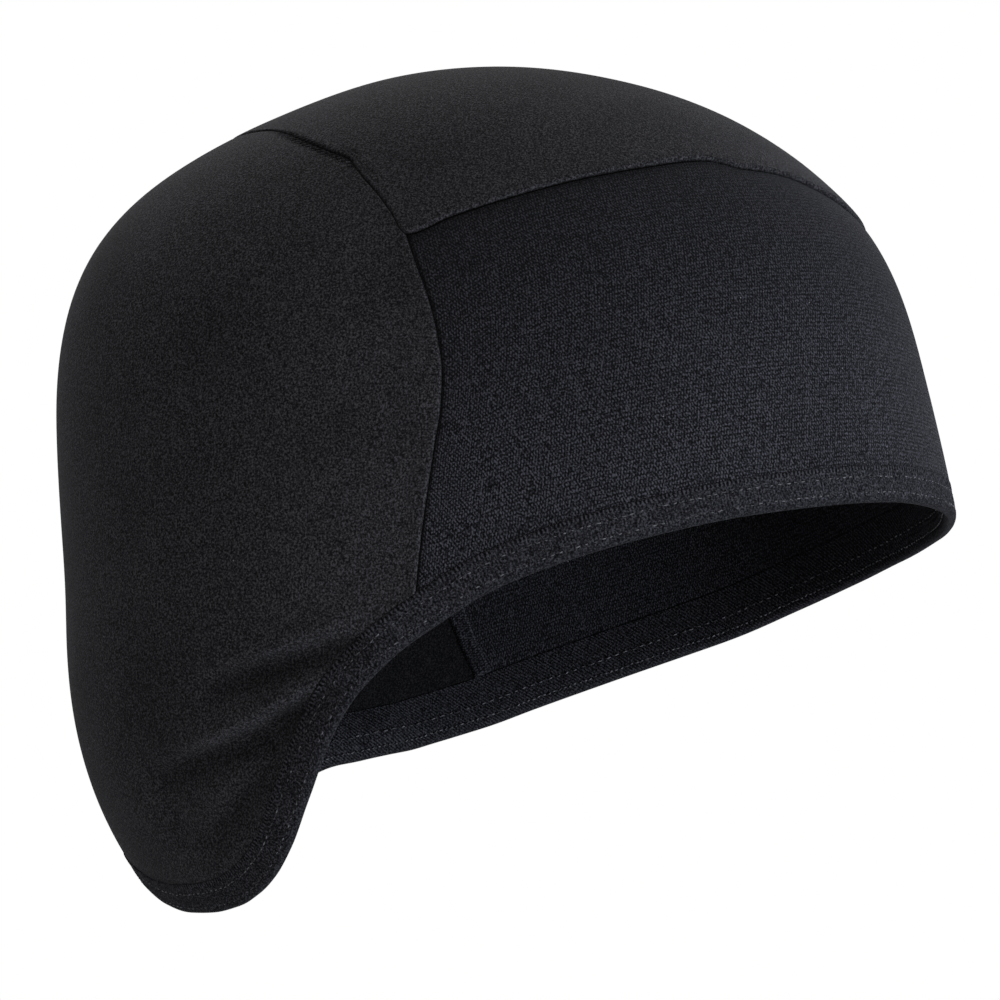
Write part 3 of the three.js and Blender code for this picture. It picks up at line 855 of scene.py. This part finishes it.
def temple_line(side):
    low = smooth_form(above_hem(CROSSING[side], LEG + 0.05))[2]
    high = junction_height - ALLOWANCE_STOP
    return lambda t: temple_seam(side, low + (high - low) * t)


def back_line(t):
    low = smooth_form(above_hem(0.0, LEG + 0.3))[2]
    high = smooth_form(crown_seam(np.array(180.0)))[2] - ALLOWANCE_STOP
    return direction_at(180.0, low + (high - low) * t)


ALLOWANCES = {
    "round_crown": (ring_line, 1, PAINTED_SHADE_INSIDE_JERSEY),
    "temple_right": (temple_line(-1), -1, PAINTED_SHADE_INSIDE_MESH),
    "temple_left": (temple_line(1), 1, PAINTED_SHADE_INSIDE_MESH),
    "centre_back": (back_line, 1, PAINTED_SHADE_INSIDE_JERSEY),
}
allowances = {
    name: lay_allowance("allowance_" + name, line, seam_length(line), towards, inside)
    for name, (line, towards, inside) in ALLOWANCES.items()
}

# %% [markdown]
# ## Edge band
#
# The opening is hemmed with a finely ribbed band, folded round the raw edge: a narrow face outside, a
# rounded fold, and a wider leg turned in. One cross section is carried round the hem. Its ribs are real:
# the outer face has one every 0.72 mm and the leg one every 0.87 mm. The section is drawn as a row of
# points, up from the fold and in from the outside of the cloth.

# %% Band section
FOLD = 1.3  # height of the rounded fold
BAND_PROUD = 0.15
LEG_OUTER = CLOTH + 0.45
LEG_INNER = LEG_OUTER + 0.75
LEG_TIP = CLOTH + 0.03  # the leg gets thin towards its top and lies against the panels there
LEG_LEVEL = 4.0  # from this height on


def arc(up, inwards, radius_up, radius_in, turn_from, turn_to, steps):
    turn = np.radians(np.linspace(turn_from, turn_to, steps))
    return np.stack([up + radius_up * np.cos(turn), inwards + radius_in * np.sin(turn)], -1)


def straight(start, end, steps):
    return np.linspace(start, end, steps + 1)[1:-1]


half_in = (LEG_INNER + BAND_PROUD) / 2
section = np.concatenate([
    arc(FOLD, half_in - BAND_PROUD, FOLD, half_in, -90, -270, 7),  # the fold, outside to inside
    straight((FOLD, LEG_INNER), (LEG_LEVEL, LEG_INNER), 4),
    straight((LEG_LEVEL, LEG_INNER), (LEG - 0.2, LEG_TIP + 0.09), 6),
    [(LEG - 0.2, LEG_TIP + 0.09), (LEG, LEG_TIP + 0.06), (LEG, LEG_TIP)],
    straight((LEG - 0.2, LEG_TIP), (BAND_FACE - 0.2, LEG_OUTER), 3),
    arc(BAND_FACE - 0.03, -0.05, 0.03, 0.1, 40, -90, 4),
    straight((BAND_FACE - 0.03, -BAND_PROUD), (FOLD, -BAND_PROUD), 6),
])
section = np.concatenate([section, section[:1]])
print("section points:", len(section))

# %% Band mesh
RIB_PITCH = 0.72
CORD_PITCH = 0.87
CORD_SLANT = 0.8
BAND_STATIONS = 4 * round(HEM_LENGTH / RIB_PITCH)
band_mesh = mesh_of(numbered_grid(BAND_STATIONS, len(section) - 1), "band_cloth")
share = np.arange(BAND_STATIONS + 1) / BAND_STATIONS
share[-1] = 0.0
run = np.arange(BAND_STATIONS + 1) * HEM_LENGTH / BAND_STATIONS
OUTSIDE_ROWS = (1.8, 5.2)  # stitch rows on the face, heights above the fold
INSIDE_ROWS = (2.1, 5.4)  # the same rows, seen on the leg
band_points = np.zeros((BAND_STATIONS + 1, len(section), 3))
for k, (up, inwards) in enumerate(section):
    outside_face = 1 / (1 + np.exp((inwards - 0.6) / 0.15)) if up < BAND_FACE + 0.1 else 0.0
    on_leg = 1.0 if inwards > LEG_OUTER + 0.3 and up > 0.5 else 0.0
    lift = outside_face * (0.03 * np.cos(2 * np.pi * run / RIB_PITCH))
    lift = lift - outside_face * sum(0.1 * bell(up - r, 0.6) for r in OUTSIDE_ROWS)
    sink = on_leg * (0.05 * np.cos(2 * np.pi * (run + CORD_SLANT * up) / CORD_PITCH))
    sink = sink - on_leg * sum(0.16 * bell(up - r, 0.7) for r in INSIDE_ROWS)
    base = above_hem(share, up)
    normal = cloth_normal(base)
    band_points[:, k] = cloth(base) - normal * (inwards - lift + sink)[:, None]
i, j = numbers_of(band_mesh, "column", "row")
set_points(band_mesh, band_points[i, j])
walked = run_lengths(section, 0)
on_face = section[:, 1] < 0.001 - BAND_PROUD
FACE_TOP_RUN = float(walked[np.flatnonzero(on_face & (section[:, 0] > BAND_FACE - 0.4))[0]])
LEG_TOP_RUN = float(walked[np.argmax(section[:, 0])])
print("run to the top of the leg and of the face, mm:", round(LEG_TOP_RUN, 2), round(FACE_TOP_RUN, 2))
uv_from_grid(band_mesh, np.stack([run[i], walked[j]], -1))
face_outwards(band_mesh, merged=True)
band_cloth = add_piece("band_cloth", band_mesh, "edge_band")
print("band faces:", len(band_mesh.polygons), "stations:", BAND_STATIONS)

# %% [markdown]
# ## Cover stitches
#
# The band is held by two rows of cover stitch. Outside, each row shows as short dashes of thread that sink
# into the cloth at both ends. Inside, one row is closer together and slants to and fro, and the row above
# it is wider apart. Each dash is a small stretched sphere with few faces, because there are hundreds of
# them. A machine sews evenly but the cloth gives, so every stitch is a little longer, shorter, higher or
# deeper than the next one.

# %% Copies of one stitch
def copies_of(mesh, count):
    """A mesh with many copies of one mesh, made by an Array modifier, one metre apart along X."""
    carrier = in_scene("carrier", mesh)
    array = carrier.modifiers.new("copies", "ARRAY")
    array.count = count
    array.use_relative_offset = False
    array.use_constant_offset = True
    array.constant_offset_displace = (1.0, 0.0, 0.0)
    depsgraph = bpy.context.evaluated_depsgraph_get()
    made = bpy.data.meshes.new_from_object(carrier.evaluated_get(depsgraph))
    bpy.data.objects.remove(carrier)
    return made


def thread_dash():
    """One dash of thread: a round bead with few faces, one unit in radius, to be stretched along X."""
    shape = bmesh.new()
    bmesh.ops.create_uvsphere(shape, u_segments=6, v_segments=5, radius=1.0)
    on_its_side = Matrix.Rotation(math.pi / 2, 3, "Y")
    bmesh.ops.rotate(shape, verts=shape.verts, cent=(0, 0, 0), matrix=on_its_side)
    return mesh_of(shape, "thread_dash")


dash = thread_dash()
print("faces of one dash:", len(dash.polygons))


# %% Stitch rows
chance = np.random.default_rng(11)  # seeded, so that every run gives the same stitches


def stitch_places(height, depth, pitch, length, thick, slant=0.0):
    """Middle and half axes of every stitch of one row round the hem."""
    count = round(HEM_LENGTH / pitch)
    number = np.arange(count)
    share = (number + chance.uniform(-0.08, 0.08, count)) / count
    level = height + chance.uniform(-0.12, 0.12, count)
    base = above_hem(share, level)
    normal = cloth_normal(base)
    skin = cloth(base)
    along = unit(cloth(above_hem(share + 0.001, level)) - skin)
    upward = unit(cloth(above_hem(share, level + 0.5)) - skin)
    tilted = np.where(number % 2 == 0, slant, -slant) + chance.normal(0.0, 0.12, count)
    along = unit(along + upward * tilted[:, None])
    sideways = unit(np.cross(normal, along))
    longer = chance.uniform(0.75, 1.2, count)[:, None]
    sunk = depth + chance.uniform(-0.02, 0.12, count)[:, None]
    axes = np.stack([along * length / 2 * longer, sideways * thick / 2, normal * thick / 2], 1)
    return skin - normal * sunk, axes


def sew_stitches(name, rows):
    """One piece with all the stitches of some rows."""
    centres, axes = (np.concatenate(part) for part in zip(*rows))
    count = len(centres)
    mesh = copies_of(dash, count)
    local = np.zeros(len(mesh.vertices) * 3, np.float32)
    mesh.vertices.foreach_get("co", local)
    local = local.reshape(count, -1, 3)
    local[..., 0] -= np.arange(count)[:, None]
    placed = centres[:, None] + np.einsum("cvk,ckx->cvx", local, axes)
    mesh.name = name
    set_points(mesh, placed.reshape(-1, 3))
    print(name, "stitches:", count, "faces:", len(mesh.polygons))
    return add_piece(name, mesh)


cover_stitches_outside = sew_stitches("cover_stitches_outside", [
    stitch_places(height, -BAND_PROUD + 0.06, 1.75, 0.95, 0.3) for height in OUTSIDE_ROWS
])
lower, upper = INSIDE_ROWS
leg_at_upper = np.interp(upper, (LEG_LEVEL, LEG), (LEG_INNER, LEG_TIP + 0.08))
cover_stitches_inside = sew_stitches("cover_stitches_inside", [
    stitch_places(lower, LEG_INNER - 0.02, 1.3, 0.75, 0.34, slant=0.25),
    stitch_places(upper, leg_at_upper, 2.1, 1.0, 0.32),
])

# %% [markdown]
# ## Cloth finishes
#
# Black cloth in a photograph is never one black. Its base colour is below 1 percent grey on the whole and
# 2 percent at the fibre ends, a weak sheen lightens it where one looks along the nap, and the knit breaks it
# up. All finishes share one recipe: a principled shader, a fine grain in the object's own coordinates, and
# for the two knits a pattern from the cloth's own UV map. What drives the bump drives most of the colour.

# %% Finish helpers
class Finish:
    """A material whose nodes are added one line at a time."""

    def __init__(self, name):
        self.material = bpy.data.materials.new(name)
        self.material.use_nodes = True
        self.tree = self.material.node_tree
        self.shader = self.tree.nodes["Principled BSDF"]

    def node(self, kind, **settings):
        made = self.tree.nodes.new(kind)
        for name, value in settings.items():
            setattr(made, name, value)
        return made

    def link(self, source, target):
        self.tree.links.new(source, target)

    def math(self, operation, a, b=None, c=None, clamp=False):
        made = self.node("ShaderNodeMath", operation=operation, use_clamp=clamp)
        for socket, value in zip(made.inputs, (a, b, c)):
            if value is None:
                continue
            if isinstance(value, (int, float)):
                socket.default_value = value
            else:
                self.link(value, socket)
        return made.outputs[0]

    def run(self):
        """The cloth's own two measures, in metres."""
        uv = self.node("ShaderNodeUVMap", uv_map="cloth_run")
        parts = self.node("ShaderNodeSeparateXYZ")
        self.link(uv.outputs["UV"], parts.inputs[0])
        return parts.outputs["X"], parts.outputs["Y"]

    def wave(self, along, pitch_mm):
        """A cosine along a measure, from -1 to 1."""
        return self.math("COSINE", self.math("MULTIPLY", along, 2 * math.pi * 1000 / pitch_mm))

    def noise(self, vector, size_mm, detail=1.0, roughness=0.6):
        made = self.node("ShaderNodeTexNoise")
        made.inputs["Scale"].default_value = 1000 / size_mm
        made.inputs["Detail"].default_value = detail
        made.inputs["Roughness"].default_value = roughness
        self.link(vector, made.inputs["Vector"])
        return made.outputs["Fac"]

    def object_place(self):
        return self.node("ShaderNodeTexCoord").outputs["Object"]

    def paint_shade_where_sunk(self, tone, dark):
        """Painted shade in grooves, creases and inner faces, from a number per vertex on the mesh."""
        mark = self.node("ShaderNodeAttribute", attribute_name="sunk")
        return self.blend(self.math("MULTIPLY", mark.outputs["Fac"], 0.85), tone, dark)

    def ramp(self, fac, stops):
        made = self.node("ShaderNodeValToRGB")
        band = made.color_ramp
        while len(band.elements) < len(stops):
            band.elements.new(0.5)
        for element, (position, color) in zip(band.elements, stops):
            element.position = position
            element.color = (*color, 1.0)
        self.link(fac, made.inputs["Fac"])
        return made.outputs["Color"]

    def window(self, along, start_mm, end_mm, soft_mm=0.3):
        """1 where a measure lies between two values, falling softly to 0 outside them."""
        scale = 1000 / soft_mm
        after = self.math("MULTIPLY_ADD", along, scale, -start_mm / soft_mm + 0.5, clamp=True)
        before = self.math("MULTIPLY_ADD", along, -scale, end_mm / soft_mm + 0.5, clamp=True)
        return self.math("MULTIPLY", after, before)

    def specks(self, place, apart_mm, size_mm, share):
        """Bits of lint: 1 in small round spots, in a share of the cells of a Voronoi pattern."""
        cells = self.node("ShaderNodeTexVoronoi")
        cells.inputs["Scale"].default_value = 1000 / apart_mm
        self.link(place, cells.inputs["Vector"])
        parts = self.node("ShaderNodeSeparateColor")
        self.link(cells.outputs["Color"], parts.inputs[0])
        chosen = self.math("LESS_THAN", parts.outputs[0], share)
        near = self.math("LESS_THAN", cells.outputs["Distance"], size_mm / apart_mm)
        return self.math("MULTIPLY", chosen, near)

    def blend(self, share, under, over):
        """A colour, or a fixed one laid over it by a share."""
        made = self.node("ShaderNodeMix", data_type="RGBA")
        self.link(share, made.inputs["Factor"])
        self.link(under, made.inputs["A"])
        made.inputs["B"].default_value = (*over, 1.0)
        return made.outputs["Result"]

    def put_on(self, pieces, tone, height=None, **values):
        """Joins colour and bump to the shader, sets its values and gives the material to some pieces."""
        self.link(tone, self.shader.inputs["Base Color"])
        if height is not None:
            bump = self.node("ShaderNodeBump")
            bump.inputs["Strength"].default_value = 1.0
            bump.inputs["Distance"].default_value = BUMP_DEPTH * 0.001
            self.link(height, bump.inputs["Height"])
            self.link(bump.outputs["Normal"], self.shader.inputs["Normal"])
        for name, value in values.items():
            self.shader.inputs[name.replace("_", " ")].default_value = value
        for piece in pieces:
            piece.data.materials.clear()
            piece.data.materials.append(self.material)
        print(self.material.name, "nodes:", len(self.tree.nodes), "pieces:", len(pieces))


GRAIN = 0.4  # size of the fibre ends, in mm
BUMP_DEPTH = 0.2
LINT = (0.05, 0.05, 0.056)
COOL = (0.95, 0.95, 1.0, 1.0)

# %% [markdown]
# The smooth jersey has a brushed face. Up close one sees a fine, irregular speckle of fibre ends, with
# dark gaps between them, and no regular lines. Here and there a bit of lint sticks to it.

# %% Smooth jersey
jersey = Finish("smooth_jersey_black")
place = jersey.object_place()
speckle = jersey.noise(place, GRAIN)
clouds = jersey.noise(place, 14.0, detail=2.0, roughness=0.5)
mixed = jersey.math("ADD", jersey.math("MULTIPLY", speckle, 0.95), jersey.math("MULTIPLY", clouds, 0.05))
tone = jersey.ramp(mixed, [
    (0.33, (0.0016, 0.0015, 0.0017)), (0.5, (0.0066, 0.0065, 0.0073)), (0.69, (0.0205, 0.0202, 0.0226)),
])
tone = jersey.blend(jersey.specks(place, 3.2, 0.16, 0.09), tone, LINT)
# painted shade in grooves, creases and on the inner face
tone = jersey.paint_shade_where_sunk(tone, (0.0004, 0.0004, 0.0005))
jersey.put_on(
    [crown_cloth, *side_cloths.values(), allowances["round_crown"], allowances["centre_back"]],
    tone, speckle, Roughness=0.85, Sheen_Weight=0.015, Sheen_Tint=COOL, Specular_IOR_Level=0.01,
)

# %% [markdown]
# The mesh knit shows rows that run along the hem, 0.87 mm apart. In each row lie tiny dark holes, about
# 0.6 mm apart and staggered from row to row, so that the eye also finds slanting lines. A product of two
# waves gives the staggered holes, and a third wave gives the rows. The colour is painted darker from the
# hem up: painted shade, because the upper front panel gets less light.

# %% Mesh knit
HOLE_PITCH = 0.62
ROW_PITCH = 0.87
mesh_knit = Finish("mesh_knit_black")
place = mesh_knit.object_place()
along, up = mesh_knit.run()
holes = mesh_knit.math("MULTIPLY", mesh_knit.wave(along, HOLE_PITCH), mesh_knit.wave(up, 2 * ROW_PITCH))
rows = mesh_knit.wave(up, ROW_PITCH)
grain = mesh_knit.noise(place, GRAIN)
knit = mesh_knit.math("ADD", mesh_knit.math("MULTIPLY", holes, 0.12), mesh_knit.math("MULTIPLY", rows, 0.04))
height = mesh_knit.math("ADD", knit, grain)
tone = mesh_knit.ramp(height, [
    (0.33, (0.0003, 0.0003, 0.0004)), (0.5, (0.0038, 0.0038, 0.0047)), (0.71, (0.022, 0.022, 0.0268)),
])
# painted shade: the mesh knit gets darker from the hem up
painted_shade_higher_up = mesh_knit.math("MULTIPLY_ADD", up, 9.0, -0.1, clamp=True)
tone = mesh_knit.blend(painted_shade_higher_up, tone, (0.0012, 0.0012, 0.0014))
tone = mesh_knit.blend(mesh_knit.specks(place, 3.0, 0.16, 0.1), tone, LINT)
# painted shade in grooves, creases and on the inner face
tone = mesh_knit.paint_shade_where_sunk(tone, (0.0003, 0.0003, 0.0004))
mesh_knit.put_on(
    [front_cloth, allowances["temple_right"], allowances["temple_left"]], tone, height,
    Roughness=0.8, Sheen_Weight=0.015, Sheen_Tint=(0.9, 0.92, 1.0, 1.0), Specular_IOR_Level=0.02,
)

# %% [markdown]
# The band is a firmer knit whose ribs stand square to the edge. The ribs are already in the mesh, so the
# finish adds the grain and darkens the valleys a little. The fold gets painted shade, which dims the light
# that it catches from the lamp below the face. At the top of the outer face a row of dark dots shows where
# the needle pierced the knit, and the inside has cords that run slantwise. The thread is smoother than the
# cloth and catches more light.

# %% Band and thread
DOT_PITCH = 0.87
ribbed = Finish("ribbed_band_black")
along, up = ribbed.run()
grain = ribbed.noise(ribbed.object_place(), GRAIN)
on_face = ribbed.window(up, FACE_TOP_RUN, FACE_TOP_RUN + 20.0)
on_leg = ribbed.window(up, 3.0, LEG_TOP_RUN)
at_top = ribbed.window(up, FACE_TOP_RUN + 0.1, FACE_TOP_RUN + 0.9, 0.2)
dots = ribbed.math("MULTIPLY", ribbed.wave(along, DOT_PITCH), at_top)
steep = ribbed.math("SUBTRACT", along, ribbed.math("MULTIPLY", up, CORD_SLANT))
cords = ribbed.math("MULTIPLY", ribbed.wave(steep, CORD_PITCH), on_leg)
ribs = ribbed.math("MULTIPLY", ribbed.wave(along, RIB_PITCH), on_face)
height = ribbed.math("MULTIPLY_ADD", dots, 0.17, grain)
height = ribbed.math("MULTIPLY_ADD", cords, 0.1, height)
mixed = ribbed.math("MULTIPLY_ADD", ribs, 0.03, height)
tone = ribbed.ramp(mixed, [
    (0.3, (0.0007, 0.0007, 0.0009)), (0.5, (0.0052, 0.0052, 0.0061)), (0.71, (0.0195, 0.0195, 0.0232)),
])
# painted shade over the fold, which dims the light it catches
painted_shade_at_fold = ribbed.window(up, 0.3, 3.8, 1.5)
tone = ribbed.blend(ribbed.math("MULTIPLY", painted_shade_at_fold, 0.35), tone, (0.001, 0.001, 0.0012))
ribbed.put_on(
    [band_cloth], tone, height,
    Roughness=0.85, Sheen_Weight=0.006, Sheen_Tint=COOL, Specular_IOR_Level=0.01,
)

thread = Finish("black_thread")
grain = thread.noise(thread.object_place(), 1.6, detail=2.0, roughness=0.7)
tone = thread.ramp(grain, [(0.38, (0.004, 0.004, 0.005)), (0.62, (0.04, 0.04, 0.045))])
thread.put_on(
    [cover_stitches_outside, cover_stitches_inside],
    tone, Roughness=0.6, Sheen_Weight=0.02, Specular_IOR_Level=0.12,
)

# %% [markdown]
# ## Cloth pieces
#
# The cap is sewn from five pieces of cloth: four panels and the band, a strip that is folded over the
# edge. The seam allowances are narrow parts of the panels beside them, so each goes with its panel.

# %% Cloth pieces
print("sheets: 5, seam allowances with them:", len(allowances))
